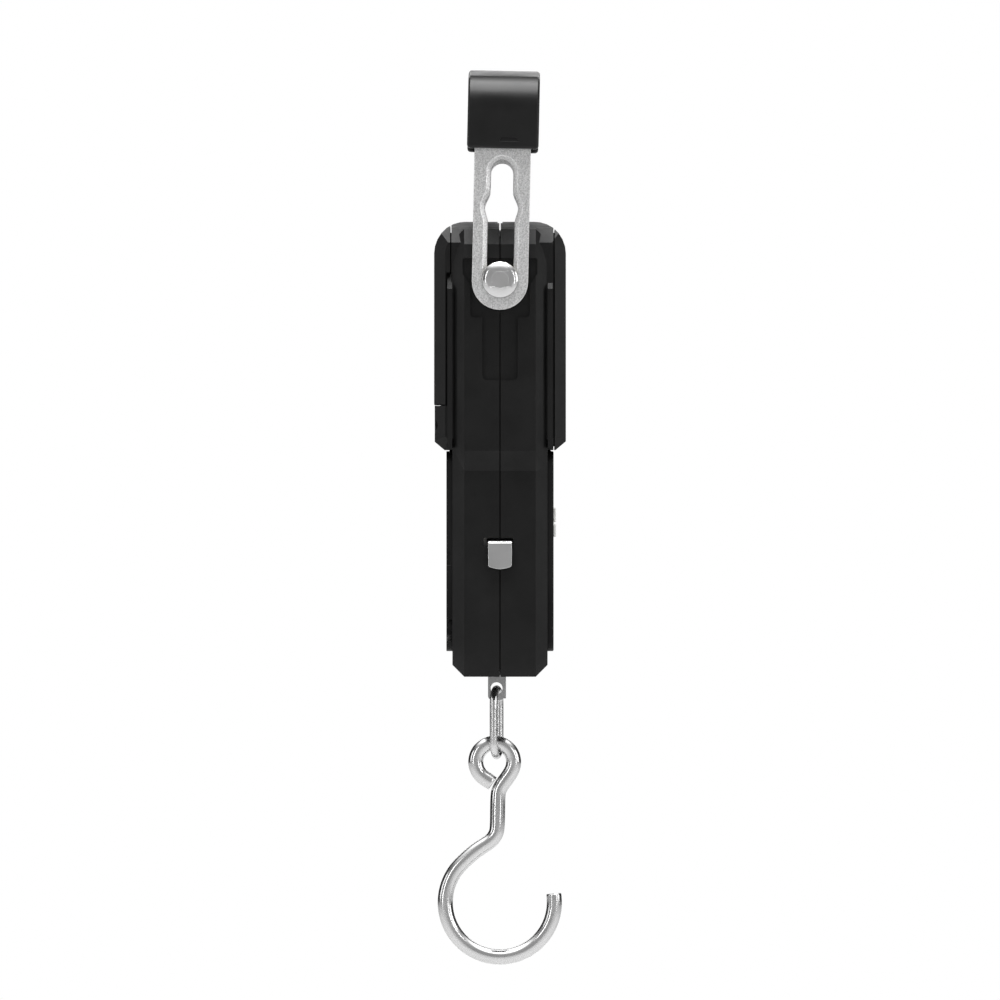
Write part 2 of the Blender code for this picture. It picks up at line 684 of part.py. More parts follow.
FLOOR = UPPER_HALF_WIDTH - POCKET_DEPTH
RECESSES = side_recess("strap_pocket", [(-0.0093, 0.0054, 0.0005), (-0.0093, 0.0015, 0.001),
                                        (-0.0074, -0.0012, 0.001), (-0.0074, -0.0093, 0.001),
                                        (0.0074, -0.0093, 0.001), (0.0074, -0.0012, 0.001),
                                        (0.0093, 0.0015, 0.001), (0.0093, 0.0054, 0.0005)], FLOOR)
RECESSES += side_recess("side_channel", [(-0.0044, -0.0080, 0), (-0.0044, -0.02495, 0.00125),
                                         (0.0044, -0.02495, 0.00125), (0.0044, -0.0080, 0)], FLOOR)
SHARED_CUTS = RECESSES + [
    rod("shaft_hole", SHAFT_RADIUS + 0.0006, -0.034, 0.034, 0, (0, 0)),
    box("tape_slot", (-0.036, -0.024), (-TAPE_HALF_WIDTH - GAP, 0.00405), (-0.0662, -0.0642)),
    box("tab_slot", (-0.0012, 0.0022), (-0.0020, 0.0035), (-0.105, -0.0955)),
]


def casing_half(name, way, hull_depth, hull_end, cavity_end):
    """One half shell: core, upper housing and ribs joined, then hollowed and recessed."""
    shell = core_half(name, way, BLACK_PLASTIC)
    near, far = sorted((way * 0.0006, way * hull_depth))
    join(shell, hull_slice(name + "_hull", (near, far), (hull_end, 0.03)))
    cavity = prism(name + "_cavity", [core_outline(WALL)], "XZ",
                   *sorted((-way * 0.002, way * (CORE_HALF_DEPTH - FACE_WALL))))
    chamfer_rim(cavity, way, CORE_HALF_DEPTH - FACE_WALL + 0.002, CORE_CHAMFER - 0.0006)
    cut(shell, cavity)
    cut(shell, box(name + "_upper_cavity", (-0.0265, 0.0265),
                   sorted((-way * 0.0021, way * (hull_depth - FACE_WALL))), (cavity_end, 0.0105)))
    for side in (-1, 1):
        near, far = sorted((way * RIB_DEPTHS[0], way * RIB_DEPTHS[1]))
        end = "left" if side < 0 else "right"
        join(shell, prism(f"{name}_rib_{end}", [rib_outline(side)], "XZ", near, far))
    return shell


# ---------------------------------------------------------------- casing

def plate_outline(grow=0.0):
    return rectangle(-PLATE_HALF_WIDTH - grow, PLATE_HALF_WIDTH + grow, PLATE_LOW - grow,
                     PLATE_TOP + grow, 0.0030)


BUTTONS = {"button_power": ((-0.0045, 0.0045), (-0.06035, -0.0567)),
           "button_hold": ((-0.0110, -0.0015), (-0.0640, -0.06065)),
           "button_unit": ((0.0015, 0.0110), (-0.0640, -0.06065))}


def grown(limits, grow):
    return (limits[0] - grow, limits[1] + grow)


def make_casing():
    front = casing_half("front_shell", -1, FRONT_HULL_DEPTH, HULL_LOW - 0.01, -0.0400)
    rear = casing_half("rear_shell", 1, REAR_HULL_DEPTH, HULL_LOW + 0.0010, -0.0290)
    join(rear, hull_slice("rear_hull_foot", (0.0110, HULL_HALF_DEPTH - 0.00015),
                          (HULL_LOW - 0.01, DOOR_LOW - GAP)))

    lip = [core_outline(LIP_INSET), core_outline(LIP_INSET + LIP_THICKNESS)]
    join(front, prism("seam_lip", lip, "XZ", -0.0015, LIP_REACH))
    groove = [core_outline(LIP_INSET - GAP), core_outline(LIP_INSET + LIP_THICKNESS + GAP)]
    cut(rear, prism("seam_groove", groove, "XZ", -0.0005, LIP_REACH + GAP))
    plate_depth = CORE_HALF_DEPTH - PLATE_RECESS
    for shell, way in ((front, -1), (rear, 1)):
        cut(shell, prism(shell.name + "_plate_recess", [plate_outline(GAP)], "XZ",
                         *sorted((way * plate_depth, way * 0.0131))))
        for index, (x, height) in enumerate(CASE_SCREWS):
            for side in (-1, 1):
                label = f"{shell.name}_post_{index}_{side + 1}"
                near, far = sorted((way * GAP, way * POST_REACH))
                join(shell, rod(label, POST_RADIUS, near, far, 1, (side * x, height), sides=14))
    for index, (x, height) in enumerate(CASE_SCREWS):
        for side in (-1, 1):
            label = f"{index}_{side + 1}"
            cut(front, rod("front_bore_" + label, SCREW_BORE_RADIUS, -0.0078, 0.004, 1,
                           (side * x, height), sides=12))
            cut(rear, rod("rear_bore_" + label, SCREW_BORE_RADIUS, -0.004, 0.012, 1, (side * x, height),
                          sides=12))
            cut(rear, rod("rear_counterbore_" + label, COUNTERBORE_RADIUS, COUNTERBORE_FLOOR, 0.020, 1,
                          (side * x, height), sides=16))
    for x, height in BOARD_SCREWS:
        label = "left" if x < 0 else "right"
        join(front, rod("board_post_" + label, BOARD_POST_RADIUS, -0.0125, BOARD_FRONT - GAP, 1,
                        (x, height), sides=12))
        cut(front, rod("board_bore_" + label, 0.0011, -0.0105, 0.0, 1, (x, height), sides=12))
    for cutter in SHARED_CUTS:
        cut(front, cutter)
        cut(rear, cutter)
    join(front, box("bezel_tongue", TONGUE_ACROSS, (-0.0142, -0.0125),
                    (BEZEL_TONGUE_LOW, TONGUE_TOP)))
    join(rear, box("door_sill", SILL_ACROSS, SILL_DEPTHS, SILL_HEIGHTS))
    for shell, way in ((front, -1), (rear, 1)):
        near, far = grown(STEP_DEPTHS, GAP)
        cut(shell, box(shell.name + "_step_recess", grown(STEP_ACROSS, GAP),
                       sorted((way * near, way * far)), (STEP_HEIGHTS[0], STEP_HEIGHTS[1] + GAP)))
    join(rear, box("door_tongue", TONGUE_ACROSS, (0.0110, 0.0130), (0.0012, TONGUE_TOP)))
    cut(front, box("display_opening", (-0.0205, 0.0205), (-0.0150, -0.0105),
                   (WINDOW_LOW + 0.001, WINDOW_TOP - 0.001)))
    cut(rear, box("battery_opening", grown((-TRAY_HALF_WIDTH, TRAY_HALF_WIDTH), GAP - 0.0010),
                  (0.0085, 0.0140), (TRAY_LOW - GAP, TRAY_TOP + GAP)))
    for shell, way in ((front, -1), (rear, 1)):
        boss = rod(shell.name + "_axle_boss", AXLE_BOSS_RADIUS,
                   *sorted((way * 0.0052, way * POST_REACH)), 1, (REEL_X, REEL_HEIGHT), sides=16)
        join(shell, boss)
        cut(shell, rod(shell.name + "_axle_bore", AXLE_RADIUS + GAP,
                       *sorted((way * 0.0045, way * 0.0092)), 1, (REEL_X, REEL_HEIGHT), sides=16))
    for name, (x_range, z_range) in BUTTONS.items():
        cut(front, box(name + "_shell_hole", grown(x_range, GAP), (-0.0130, -0.0095),
                       grown(z_range, GAP)))

    bezel = hull_slice("lcd_bezel", (-0.02, -FRONT_HULL_DEPTH - GAP), (HULL_LOW - 0.01, 0.03),
                       BLACK_PLASTIC)
    cut(bezel, prism("bezel_window", [rectangle(-WINDOW_HALF_WIDTH, WINDOW_HALF_WIDTH, WINDOW_LOW,
                                                WINDOW_TOP, 0.0015)], "XZ", -0.018, -0.013))
    cut(bezel, box("bezel_groove", grown(TONGUE_ACROSS, GAP), (-0.0145, -0.0125),
                   (BEZEL_TONGUE_LOW - GAP, TONGUE_TOP + GAP)))

    front_plate = prism("keypad_plate", [plate_outline()], "XZ", -PLATE_HALF_DEPTH,
                        -plate_depth - GAP, BLACK_PLASTIC)
    rear_plate = prism("rear_plate", [plate_outline()], "XZ", plate_depth + GAP, PLATE_HALF_DEPTH,
                       BLACK_PLASTIC)
    for name, (x_range, z_range) in BUTTONS.items():
        cut(front_plate, box(name + "_plate_hole", grown(x_range, GAP), (-0.0140, -0.0105),
                             grown(z_range, GAP)))
    for plate, way in ((front_plate, -1), (rear_plate, 1)):
        near, far = STEP_DEPTHS
        join(plate, box(plate.name + "_step", STEP_ACROSS, sorted((way * near, way * far)),
                        STEP_HEIGHTS))
    x, height = CASE_SCREWS[1]
    for side in (-1, 1):
        cut(rear_plate, rod(f"plate_screw_hole_{side + 1}", 0.0028, 0.010, 0.015, 1,
                            (side * x, height), sides=16))
        cut(rear_plate, box(f"plate_notch_{side + 1}", sorted((side * 0.0236, side * 0.0250)),
                            (0.0122, 0.0150), (-0.0710, -0.0675)))
    for index, (x, height) in enumerate(CASE_SCREWS):
        for side in (-1, 1):
            end = "left" if side < 0 else "right"
            row = ("upper", "lower")[index]
            screw(f"case_screw_{row}_{end}", (side * x, height), COUNTERBORE_FLOOR + GAP,
                  0.0062, -0.0070, SCREW_HEAD_RADIUS, SCREW_SHANK_RADIUS, 1)


# ---------------------------------------------------------------- display, board and buttons

def make_display():
    prism("lcd_window", [rectangle(-WINDOW_HALF_WIDTH + GAP, WINDOW_HALF_WIDTH - GAP,
                                   WINDOW_LOW + GAP, WINDOW_TOP - GAP, 0.0013)], "XZ",
          -0.0160, -0.0148, CLEAR_PLASTIC)
    box("lcd_glass", (-0.0202, 0.0202), (-0.0136, -0.0110), (-0.0257, -0.0033), LCD_GLASS)
    box("lcd_backlight", (-0.0196, 0.0196), (-0.0103, -0.0080), (-0.0232, -0.0058), BACKLIGHT,
        bevel=0.0002)
    for name, low in (("zebra_strip_upper", -0.0052), ("zebra_strip_lower", -0.0252)):
        box(name, (-0.0180, 0.0180), (-0.0107, -0.0075), (low, low + 0.0014), RUBBER)
    board = box("main_board", (-BOARD_HALF_WIDTH, BOARD_HALF_WIDTH),
                (BOARD_FRONT, BOARD_FRONT + BOARD_THICKNESS), BOARD_SPAN, BOARD_GREEN)
    for x, height in BOARD_SCREWS:
        label = "left" if x < 0 else "right"
        cut(board, rod("board_hole_" + label, 0.0014, -0.010, 0.0, 1, (x, height), sides=12))
        back = BOARD_FRONT + BOARD_THICKNESS + GAP
        screw("board_screw_" + label, (x, height), back, back + 0.0010, -0.0100, 0.0018, 0.0008, 1)
    front = BOARD_FRONT - GAP
    box("processor_chip", (-0.0045, 0.0045), (front - 0.0012, front), (-0.0390, -0.0300),
        CHIP_BLACK, bevel=0.0002)
    rod("buzzer", 0.0050, front - 0.0020, front, 1, (0.0130, -0.0460), CHIP_BLACK, bevel=0.0003)
    for name, (x_range, z_range) in BUTTONS.items():
        middle = sum(x_range) / 2
        height = sum(z_range) / 2
        switch = box(name.replace("button", "switch"), (middle - 0.0016, middle + 0.0016),
                     (front - SWITCH_DEPTH, front), (height - 0.0014, height + 0.0014), CHIP_BLACK)
        back = front - SWITCH_DEPTH - BUTTON_TRAVEL_GAP
        cap = box(name, x_range, (-PLATE_HALF_DEPTH - BUTTON_PROUD, back - 0.0002), z_range,
                  WHITE_PLASTIC, bevel=0.0003)
        join(cap, box(name + "_flange", grown(x_range, 0.0006), (back - 0.0005, back),
                      grown(z_range, -0.0003)))
        round_edges(switch, 0.0002, segments=1)


# ---------------------------------------------------------------- battery bay

def make_battery_bay():
    outer = TRAY_HALF_WIDTH - TRAY_SIDE_CLEARANCE
    tray = box("battery_tray", (-outer, outer), (TRAY_FRONT, TRAY_REAR), (TRAY_LOW, TRAY_TOP),
               BLACK_PLASTIC)
    inner = outer - TRAY_WALL
    cut(tray, box("tray_hollow", (-inner, inner), (TRAY_FRONT - 0.001, 0.03),
                  (TRAY_LOW + TRAY_WALL, TRAY_TOP - TRAY_WALL)))
    join(tray, box("tray_floor", (-inner - 0.0005, inner + 0.0005), (TRAY_FRONT, 0.0043),
                   (TRAY_LOW + 0.0005, TRAY_TOP - 0.0005)))
    names = ("battery_upper", "battery_lower")
    for name, height, way in zip(names, BATTERY_HEIGHTS, (1, -1)):
        end = BATTERY_LENGTH / 2
        profile = [(0, end), (0.0019, end), (0.0019, end - 0.0010), (BATTERY_RADIUS - 0.0006,
                   end - 0.0010), (BATTERY_RADIUS, end - 0.0016), (BATTERY_RADIUS, -end + 0.0005),
                   (BATTERY_RADIUS - 0.0005, -end), (0, -end)]
        turn = (0, way * pi / 2, 0)
        smooth(turned(name, profile, CELL_WRAP, (0, BATTERY_DEPTH_CENTRE, height), turn, sides=18))
        row = name.split("_")[1]
        plate_x = sorted((way * (end + 0.0004), way * (end + 0.0008)))
        box(f"contact_plate_{row}", plate_x, (0.0052, 0.0118), (height - 0.0040, height + 0.0040),
            SPRING_STEEL)
        turns, sides, length = 3, 8, inner - end - 0.0016
        points = []
        for step in range(turns * sides + 1):
            angle = 2 * pi * step / sides
            share = step / (turns * sides)
            radius = 0.0034 - 0.0016 * share
            points.append((-way * (inner - 0.0008 - length * share),
                           radius * cos(angle), radius * sin(angle)))
        wire(f"contact_spring_{row}", points, 0.0005, SPRING_STEEL,
             (0, BATTERY_DEPTH_CENTRE - 0.0010, height), resolution=1)

    door = hull_slice("battery_door", (REAR_HULL_DEPTH + GAP, 0.02), (DOOR_LOW, 0.03),
                      BLACK_PLASTIC)
    cut(door, box("door_hollow", (-0.0268, 0.0268), (0.0100, 0.0151), (DOOR_LOW - 0.002, -0.0005)))
    cut(door, box("door_groove", grown(TONGUE_ACROSS, GAP), (0.0110, 0.0133),
                  (-0.0015, TONGUE_TOP + GAP)))
    for side in (-1, 1):
        cut(door, box(f"door_rail_clearance_{side + 1}", sorted((side * 0.0269, side * 0.0300)),
                      (0.0100, 0.0135), (DOOR_LOW - 0.002, 0.0019)))


# ---------------------------------------------------------------- load path

def make_load_path():
    body = rectangle(-CELL_HALF_WIDTH, CELL_HALF_WIDTH, CELL_LOW, CELL_TOP, 0.0006, 2)
    window = arc((0, -0.0150), 0.0036, -pi / 2 + 0.5, 3 * pi / 2 - 0.5, 10)
    window += arc((0, -0.0290), 0.0036, pi / 2 + 0.5, 5 * pi / 2 - 0.5, 10)
    cell = prism("load_cell", [body, window], "XZ", -CELL_HALF_DEPTH, CELL_HALF_DEPTH, ALUMINIUM)
    cut(cell, rod("cell_bore", SHAFT_RADIUS + GAP, -0.010, 0.010, 0, (0, 0)))

    outer = rectangle(-STIRRUP_HALF_WIDTH, STIRRUP_HALF_WIDTH, STIRRUP_LOW, CELL_LOW - GAP, 0.0025)
    low = STIRRUP_LOW + STIRRUP_THICKNESS
    high = CELL_LOW - GAP - STIRRUP_THICKNESS
    side = STIRRUP_HALF_WIDTH - STIRRUP_THICKNESS
    inner = rectangle(-side, side, low, high, 0.0010)
    stirrup = prism("hook_stirrup", [outer, inner], "XZ", -STIRRUP_HALF_DEPTH,
                    STIRRUP_HALF_DEPTH, ZINC_STEEL)
    tab = outline([(TAB_REAR, low - 0.0005, 0), (TAB_FRONT + 0.0004, low - 0.0005, 0),
                   (TAB_FRONT + 0.0004, TAB_LOW, 0.0010), (TAB_REAR, TAB_LOW, 0.0010)])
    join(stirrup, prism("hook_tab", [tab], "YZ", -TAB_HALF_THICKNESS, TAB_HALF_THICKNESS))
    join(stirrup, box("tab_fold", (-TAB_HALF_THICKNESS, TAB_FOLD_REACH),
                      (TAB_FRONT, TAB_FRONT + 0.0008), (TAB_LOW + 0.0004, low - 0.0006)))
    cut(stirrup, rod("tab_hole", TAB_HOLE_RADIUS, -0.004, 0.004, 0,
                     (TAB_HOLE_DEPTH, TAB_HOLE_HEIGHT), sides=20))
    cut(stirrup, box("tape_window", (-STIRRUP_HALF_WIDTH - 0.001, 0.001 - side),
                     grown((-TAPE_HALF_WIDTH, TAPE_HALF_WIDTH), GAP), (-0.0673, -0.0640)))
    for x in (-0.0035, 0.0035):
        label = "left" if x < 0 else "right"
        cut(stirrup, rod("stirrup_hole_" + label, 0.0014, -0.052, -0.044, 2, (x, 0), sides=12))
        cut(cell, rod("cell_thread_" + label, 0.0013, -0.050, -0.0360, 2, (x, 0), sides=12))
        screw("cell_screw_" + label, (x, 0), high - GAP - 0.0014, high - GAP, -0.0370, 0.0021,
              0.0010, 2)


# ---------------------------------------------------------------- tape measure

def make_tape():
    side = -WAIST_HALF_WIDTH
    box("tape_blade", (side + 0.0010, REEL_X), (-TAPE_HALF_WIDTH, TAPE_HALF_WIDTH),
        (TAPE_HEIGHT, TAPE_HEIGHT + TAPE_THICKNESS), TAPE_YELLOW)
    top = TAPE_HEIGHT + TAPE_THICKNESS + GAP
    profile = outline([(side + 0.0030, top, 0), (side + 0.0030, top + 0.0004, 0),
                       (side - 0.0014, top + 0.0004, 0.0012), (side - 0.0016, TAPE_HOOK_LOW, 0),
                       (side - 0.0011, TAPE_HOOK_LOW, 0), (side - 0.0009, top, 0.0006)])
    hook = prism("tape_end_hook", [profile], "XZ", -0.0040, 0.0040, POLISHED_STEEL)
    half = TAPE_HOOK_HALF_WIDTH
    shoulder = TAPE_HOOK_LOW + 0.0011
    lip = outline([(-half, -0.060, 0), (-half, shoulder, 0.0006),
                   (0, TAPE_HOOK_LOW + 0.0001, 0.006), (half, shoulder, 0.0006),
                   (half, -0.060, 0)])
    keep_within(hook, prism("hook_lip", [lip], "YZ", -0.034, -0.020))

    reel = parent_empty("reel_axis", (REEL_X, 0, REEL_HEIGHT), PIVOT)
    prism("tape_coil", [circle((0, 0), COIL_RADIUS), circle((0, 0), COIL_CORE_RADIUS)],
          "XZ", -TAPE_HALF_WIDTH, TAPE_HALF_WIDTH, TAPE_YELLOW, reel)
    rim = COIL_CORE_RADIUS - GAP
    hub = AXLE_RADIUS + GAP
    floor = -TAPE_HALF_WIDTH - 0.0010
    profile = [(rim - 0.0008, TAPE_HALF_WIDTH), (rim, TAPE_HALF_WIDTH), (rim, floor + 0.0007),
               (COIL_RADIUS, floor + 0.0007), (COIL_RADIUS, floor), (hub, floor),
               (hub, TAPE_HALF_WIDTH), (hub + 0.0009, TAPE_HALF_WIDTH),
               (hub + 0.0009, floor + 0.0008), (rim - 0.0008, floor + 0.0008),
               (rim - 0.0008, TAPE_HALF_WIDTH)]
    smooth(turned("tape_spool", profile, NYLON, (0, 0, 0), (-pi / 2, 0, 0), reel))
    turns, sides = 4, 10
    inner_radius, outer_radius, strip = hub + 0.0012, rim - 0.0014, 0.00022
    count = turns * sides

    def spiral(grow):
        pitch = (outer_radius - inner_radius) / count
        return [((inner_radius + grow + pitch * step) * cos(2 * pi * step / sides),
                 (inner_radius + grow + pitch * step) * sin(2 * pi * step / sides))
                for step in range(count + 1)]

    prism("reel_spring", [spiral(strip) + spiral(0.0)[::-1]], "XZ", -0.0026, 0.0024, SPRING_STEEL,
          reel)
    rod("reel_axle", AXLE_RADIUS, -0.0088, 0.0088, 1, (REEL_X, REEL_HEIGHT), ZINC_STEEL,
        bevel=0.0002)


# ---------------------------------------------------------------- link and hook

def make_link():
    axis = parent_empty("link_axis", (0, TAB_HOLE_DEPTH, LINK_TOP), PIVOT)
    drop = LINK_LOW - LINK_TOP + LINK_HALF_WIDTH
    loop = arc((0, -LINK_HALF_WIDTH), LINK_HALF_WIDTH, 0, pi, 12)
    loop += arc((0, drop), LINK_HALF_WIDTH, pi, 2 * pi, 12)
    points = [(x, 0, height) for x, height in loop]
    wire("link", points, LINK_WIRE, POLISHED_STEEL, turn=(0, 0, LINK_TWIST), closed=True,
         parent=axis, resolution=2)


def hook_route():
    """The hook's centre line in its own plane, from the eye's end to the bowl's tip."""
    ring = arc((EYE_DEPTH, EYE_HEIGHT), EYE_RADIUS, EYE_END_ANGLE, EYE_NECK_ANGLE, 17)
    end = (ring[0][0] - EYE_TAIL[0], ring[0][1] - EYE_TAIL[1])
    points = [end] + ring
    points += [(-0.00175, -0.1243), (-0.00050, -0.1259), (0.00025, -0.1272),
               (SHANK_DEPTH, -0.1287), (SHANK_DEPTH, -0.1366),
               (0.00095, -0.1382), (0.0020, -0.1398), (0.0040, -0.14115), (0.0064, -0.1426)]
    points += arc((BOWL_DEPTH, BOWL_HEIGHT), BOWL_RADIUS, BOWL_NECK_ANGLE, BOWL_TIP_ANGLE, 30)
    return points


def make_hook():
    axis = parent_empty("hook_axis", (0, TAB_HOLE_DEPTH, LINK_LOW), PIVOT)
    points = [(0, y - TAB_HOLE_DEPTH, height - LINK_LOW) for y, height in hook_route()]
    wire("hook", points, HOOK_WIRE, POLISHED_STEEL, parent=axis, resolution=3)


make_bail()
make_pivot()
make_casing()
make_display()
make_battery_bay()
make_load_path()
make_tape()
make_link()
make_hook()
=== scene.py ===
"""Looks for the hanging luggage scale: refined meshes and materials around the CAD frame.

Sizes are in metres.
"""

import json
from math import radians

import bmesh
import bpy
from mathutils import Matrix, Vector


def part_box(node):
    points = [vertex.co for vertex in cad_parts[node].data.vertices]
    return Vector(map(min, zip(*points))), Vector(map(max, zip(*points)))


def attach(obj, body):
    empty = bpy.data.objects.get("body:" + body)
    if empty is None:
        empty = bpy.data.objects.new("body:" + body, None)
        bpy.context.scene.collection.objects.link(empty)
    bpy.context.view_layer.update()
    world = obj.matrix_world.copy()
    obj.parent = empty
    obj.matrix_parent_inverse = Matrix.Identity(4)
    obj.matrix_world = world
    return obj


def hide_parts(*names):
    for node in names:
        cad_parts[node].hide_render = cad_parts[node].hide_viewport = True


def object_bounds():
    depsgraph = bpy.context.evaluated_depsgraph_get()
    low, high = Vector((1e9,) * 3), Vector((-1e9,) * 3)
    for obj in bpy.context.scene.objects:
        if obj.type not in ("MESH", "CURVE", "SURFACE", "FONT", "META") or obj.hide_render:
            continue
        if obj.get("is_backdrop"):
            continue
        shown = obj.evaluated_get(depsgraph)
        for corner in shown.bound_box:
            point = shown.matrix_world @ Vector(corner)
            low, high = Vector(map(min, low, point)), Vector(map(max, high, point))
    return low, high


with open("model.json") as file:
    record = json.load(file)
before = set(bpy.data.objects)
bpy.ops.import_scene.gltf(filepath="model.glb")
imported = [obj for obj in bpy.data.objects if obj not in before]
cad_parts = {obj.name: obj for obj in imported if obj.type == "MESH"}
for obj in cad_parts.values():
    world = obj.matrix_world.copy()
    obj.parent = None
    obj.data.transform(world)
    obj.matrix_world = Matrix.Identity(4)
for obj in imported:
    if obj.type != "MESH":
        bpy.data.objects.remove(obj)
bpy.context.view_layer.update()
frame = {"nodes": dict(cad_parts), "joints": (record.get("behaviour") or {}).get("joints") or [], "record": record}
NODES = frame["nodes"]
JOINTS = {joint["name"]: joint for joint in frame["joints"]}
BODY_OF = {node: body for body, nodes in frame["record"]["behaviour"]["bodies"].items()
           for node in nodes}
SLOT_OF = {part["node"]: part["material_slot"] for part in frame["record"]["subparts"]}


# ---------------------------------------------------------------- material building blocks

# the part of a noise pattern over which one tone turns into the other
BLEND_LOW = 0.35
BLEND_HIGH = 0.65


def grey(value):
    """A neutral colour."""
    return (value, value, value)


class Material:
    """A Principled material whose detail is built from a few procedural layers."""

    def __init__(self, name, roughness, metallic=0.0):
        self.material = bpy.data.materials.new(name)
        self.material.use_nodes = True
        self.nodes = self.material.node_tree.nodes
        self.links = self.material.node_tree.links
        self.shader = self.nodes["Principled BSDF"]
        self.shader.inputs["Roughness"].default_value = roughness
        self.shader.inputs["Metallic"].default_value = metallic
        self.coords = self.nodes.new("ShaderNodeTexCoord")
        self.height = None

    def set(self, **values):
        """Set shader inputs by name, with underscores for spaces."""
        for name, value in values.items():
            self.shader.inputs[name.replace("_", " ")].default_value = value

    def noise(self, scale, detail, stretch=(1, 1, 1)):
        """A noise pattern in object space; scale is in features per metre."""
        mapping = self.nodes.new("ShaderNodeMapping")
        mapping.inputs["Scale"].default_value = stretch
        texture = self.nodes.new("ShaderNodeTexNoise")
        texture.inputs["Scale"].default_value = scale
        texture.inputs["Detail"].default_value = detail
        self.links.new(self.coords.outputs["Object"], mapping.inputs["Vector"])
        self.links.new(mapping.outputs["Vector"], texture.inputs["Vector"])
        return texture.outputs["Fac"]

    def blend(self, source, below, above, low=BLEND_LOW, high=BLEND_HIGH):
        """Turn a pattern into colours: one up to low, the other from high on, mixed between."""
        node = self.nodes.new("ShaderNodeValToRGB")
        stops = node.color_ramp.elements
        stops[0].position = low
        stops[0].color = (*below, 1)
        stops[1].position = high
        stops[1].color = (*above, 1)
        self.links.new(source, node.inputs["Fac"])
        return node.outputs["Color"]

    def colour(self, source, dark, light, low=BLEND_LOW, high=BLEND_HIGH):
        """Vary the surface colour between two tones with a pattern."""
        mixed = self.blend(source, dark, light, low, high)
        self.links.new(mixed, self.shader.inputs["Base Color"])

    def roughness(self, source, smooth, rough):
        """Vary the roughness between two values with a pattern."""
        mixed = self.blend(source, grey(smooth), grey(rough))
        self.links.new(mixed, self.shader.inputs["Roughness"])

    def bump(self, source, distance, strength):
        """Add a layer of relief; distance is its height in metres."""
        node = self.nodes.new("ShaderNodeBump")
        node.inputs["Distance"].default_value = distance
        node.inputs["Strength"].default_value = strength
        self.links.new(source, node.inputs["Height"])
        if self.height:
            self.links.new(self.height, node.inputs["Normal"])
        self.height = node.outputs["Normal"]
        self.links.new(self.height, self.shader.inputs["Normal"])


def moulded_black(name, tone, roughness, grain, specular):
    """Black injection-moulded plastic: spark-eroded grain and faint handling marks."""
    made = Material(name, roughness)
    made.set(Specular_IOR_Level=specular)
    made.colour(made.noise(scale=140, detail=4), dark=grey(tone * 0.85), light=grey(tone * 1.2))
    made.roughness(made.noise(scale=90, detail=5), smooth=roughness - 0.05, rough=roughness + 0.07)
    made.bump(made.noise(scale=grain, detail=2), distance=0.00002, strength=0.55)
    made.bump(made.noise(scale=160, detail=2), distance=0.00008, strength=0.10)
    return made.material


def bright_metal(name, tone, smooth, rough, scratch=700):
    """Polished or milled metal with fine drawing lines and a little handling haze."""
    made = Material(name, smooth, metallic=1.0)
    made.colour(made.noise(scale=60, detail=3), dark=grey(tone * 0.93), light=grey(tone))
    made.roughness(made.noise(scale=120, detail=5), smooth=smooth, rough=rough)
    lines = made.noise(scale=scratch, detail=2, stretch=(1, 1, 0.12))
    made.bump(lines, distance=0.000004, strength=0.12)
    return made.material


def blasted_steel():
    """Bead-blasted cast steel: even fine grain with slightly darker pits."""
    made = Material("blasted_steel", 0.42, metallic=1.0)
    pits = made.noise(scale=3400, detail=4)
    made.colour(pits, dark=grey(0.46), light=grey(0.80), low=0.32, high=0.64)
    made.roughness(made.noise(scale=1500, detail=4), smooth=0.36, rough=0.52)
    made.bump(made.noise(scale=3200, detail=3), distance=0.00003, strength=0.65)
    made.bump(made.noise(scale=380, detail=2), distance=0.00003, strength=0.25)
    return made.material


def plain(name, dark, light, roughness):
    """A simple moulded, rubber or painted surface with slight mottling and grain."""
    made = Material(name, roughness)
    made.colour(made.noise(scale=300, detail=4), dark, light)
    made.roughness(made.noise(scale=500, detail=4), smooth=roughness - 0.06, rough=roughness + 0.08)
    made.bump(made.noise(scale=1500, detail=3), distance=0.000008, strength=0.4)
    return made.material


def display_panel():
    """A grey-green liquid crystal panel, evenly lit from behind."""
    made = Material("lcd_glass", 0.20)
    made.set(Emission_Color=(0.50, 0.58, 0.44, 1), Emission_Strength=0.50)
    mottling = made.noise(scale=300, detail=4)
    made.colour(mottling, dark=(0.38, 0.43, 0.33), light=(0.42, 0.47, 0.37))
    made.roughness(made.noise(scale=500, detail=4), smooth=0.16, rough=0.26)
    return made.material


def clear_window():
    """Clear moulded plastic, with a low index of refraction so that it reflects little."""
    made = Material("clear_window", 0.04)
    made.set(Transmission_Weight=1.0, IOR=1.30)
    made.roughness(made.noise(scale=400, detail=4), smooth=0.01, rough=0.04)
    made.colour(made.noise(scale=50, detail=2), dark=grey(0.90), light=grey(0.94))
    return made.material


TAPE_HALF_DIVISION = 0.0005
TAPE_LINE_CORE = 0.00006
TAPE_LINE_EDGE = 0.00012


def measuring_tape():
    """Yellow enamel crossed by dark division lines every millimetre."""
    made = Material("tape_enamel", 0.35)
    split = made.nodes.new("ShaderNodeSeparateXYZ")
    made.links.new(made.coords.outputs["Object"], split.inputs["Vector"])
    wave = made.nodes.new("ShaderNodeMath")
    wave.operation = "PINGPONG"
    wave.inputs[1].default_value = TAPE_HALF_DIVISION
    made.links.new(split.outputs["X"], wave.inputs[0])
    line = made.nodes.new("ShaderNodeMapRange")
    line.inputs["From Min"].default_value = TAPE_LINE_CORE
    line.inputs["From Max"].default_value = TAPE_LINE_EDGE
    made.links.new(wave.outputs["Value"], line.inputs["Value"])
    lines = line.outputs["Result"]
    made.colour(lines, dark=grey(0.03), light=(0.80, 0.60, 0.07), low=0.0, high=1.0)
    made.roughness(made.noise(scale=500, detail=3), smooth=0.28, rough=0.42)
    return made.material


